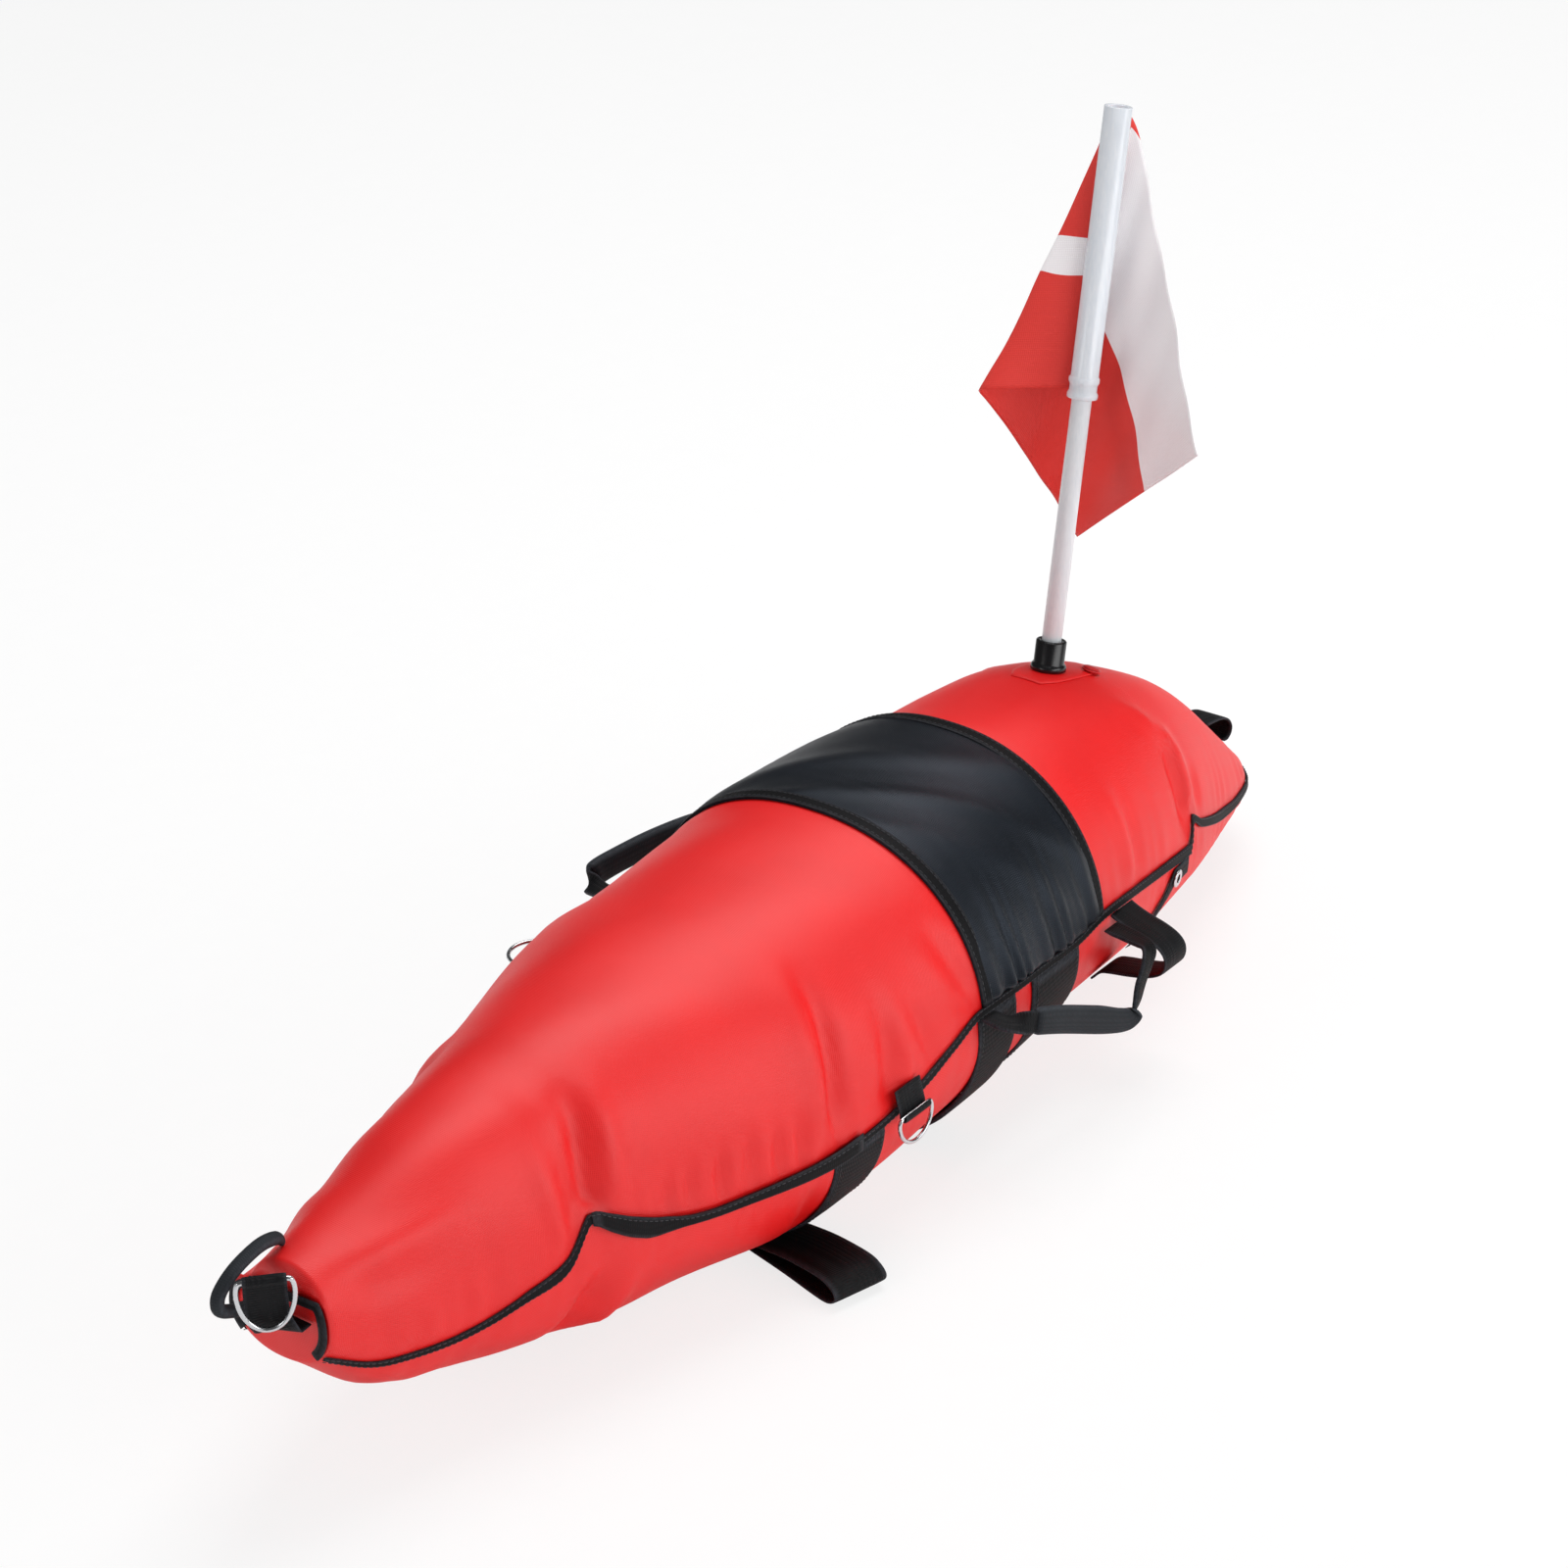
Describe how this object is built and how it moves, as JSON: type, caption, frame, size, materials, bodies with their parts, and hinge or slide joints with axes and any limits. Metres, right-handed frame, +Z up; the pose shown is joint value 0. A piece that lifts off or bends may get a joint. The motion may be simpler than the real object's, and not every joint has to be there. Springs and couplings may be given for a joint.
{
  "type": "dive flag float",
  "caption": "Torpedo-shaped surface float with a fabric cover over an air bladder, side handles, tow rings, bottom loops and a mast with a slack diver flag.",
  "frame": {"origin": "on the resting plane, on the centre line, under the middle of the front belly strap", "axes": "+X towards the stern, +Y towards the far side, +Z up; the bow points to -X"},
  "size_m": [0.9245, 0.3226, 0.5106],
  "materials": {
    "red_nylon": "coated, satin",
    "black_nylon": "woven, satin",
    "black_tape": "woven, matt",
    "webbing": "woven, matt",
    "steel": "polished",
    "rubber": "matt",
    "white_plastic": "translucent, satin",
    "clear_plastic": "translucent, satin",
    "flag_cloth": "thin woven",
    "bladder_film": "film",
    "valve_plastic": "satin"
  },
  "bodies": {
    "hull": {"cover_upper": "red_nylon", "cover_lower": "red_nylon", "socket_patch": "red_nylon", "centre_band": "black_nylon", "side_pad_near": "black_nylon", "side_pad_far": "black_nylon", "seam_binding_near": "black_tape", "seam_binding_far": "black_tape", "closing_tape": "black_tape", "band_hem_front": "black_tape", "band_hem_rear": "black_tape", "bow_binding": "black_tape", "tail_binding": "black_tape", "belly_strap_front": "webbing", "belly_strap_rear": "webbing", "bow_ring_tab": "webbing", "ring_tab_near": "webbing", "ring_tab_far": "webbing", "bottom_loop_rear": "webbing", "side_strip_near": "webbing", "side_strip_far": "webbing", "stern_tab": "webbing", "mast_socket": "rubber", "eyelet_near": "steel", "eyelet_far": "steel", "bladder": "bladder_film", "inflation_valve": "valve_plastic"},
    "mast": {"mast": "white_plastic"},
    "flag_set": {"flag_sleeve": "clear_plastic", "flag": "flag_cloth"},
    "near_handle": {"side_handle_near": "webbing", "handle_grip_near": "rubber"},
    "far_handle": {"side_handle_far": "webbing", "handle_grip_far": "rubber"},
    "bow_ring": {"bow_ring": "steel"},
    "near_ring": {"side_ring_near": "steel"},
    "far_ring": {"side_ring_far": "steel"},
    "bow_loop": {"bow_handle": "webbing"},
    "front_loop": {"bottom_loop_front": "webbing"},
    "cap": {"valve_cap": "valve_plastic"}
  },
  "joints": [
    {"name": "mast_lift", "type": "slide", "parent": "hull", "child": "mast", "axis": [0.2402, 0, 0.9707], "range_m": [0, 0.02]},
    {"name": "flag_turn", "type": "hinge", "parent": "mast", "child": "flag_set", "pos_m": [0.3465, 0, 0.1865], "axis": [0.2402, 0, 0.9707], "continuous": true},
    {"name": "near_handle_swing", "type": "hinge", "parent": "hull", "child": "near_handle", "pos_m": [0.113, -0.1181, 0.1025], "axis": [0.9947, 0.0678, -0.0774], "range_deg": [-84, 12]},
    {"name": "far_handle_swing", "type": "hinge", "parent": "hull", "child": "far_handle", "pos_m": [0.113, 0.1181, 0.1025], "axis": [0.9947, -0.0678, -0.0774], "range_deg": [-65, 75]},
    {"name": "bow_ring_swing", "type": "hinge", "parent": "hull", "child": "bow_ring", "pos_m": [-0.3655, -0.016, 0.152], "axis": [-0.717, 0.697, 0], "range_deg": [-5, 95]},
    {"name": "near_ring_swing", "type": "hinge", "parent": "hull", "child": "near_ring", "pos_m": [0.039, -0.1212, 0.08], "axis": [1, 0, 0], "range_deg": [-100, 12]},
    {"name": "far_ring_swing", "type": "hinge", "parent": "hull", "child": "far_ring", "pos_m": [0.039, 0.143, 0.095], "axis": [1, 0, 0], "range_deg": [-85, 60]},
    {"name": "bow_loop_swing", "type": "hinge", "parent": "hull", "child": "bow_loop", "pos_m": [-0.3428, 0.006, 0.1215], "axis": [0.5141, 0, 0.8577], "range_deg": [-30, 0]},
    {"name": "front_loop_flap", "type": "hinge", "parent": "hull", "child": "front_loop", "pos_m": [-0.0095, -0.058, 0.0008], "axis": [1, 0, 0], "range_deg": [-12, 0]},
    {"name": "valve_cap_pull", "type": "slide", "parent": "hull", "child": "cap", "axis": [0.362, -0.1223, 0.9241], "range_m": [0, 0.012]}
  ]
}
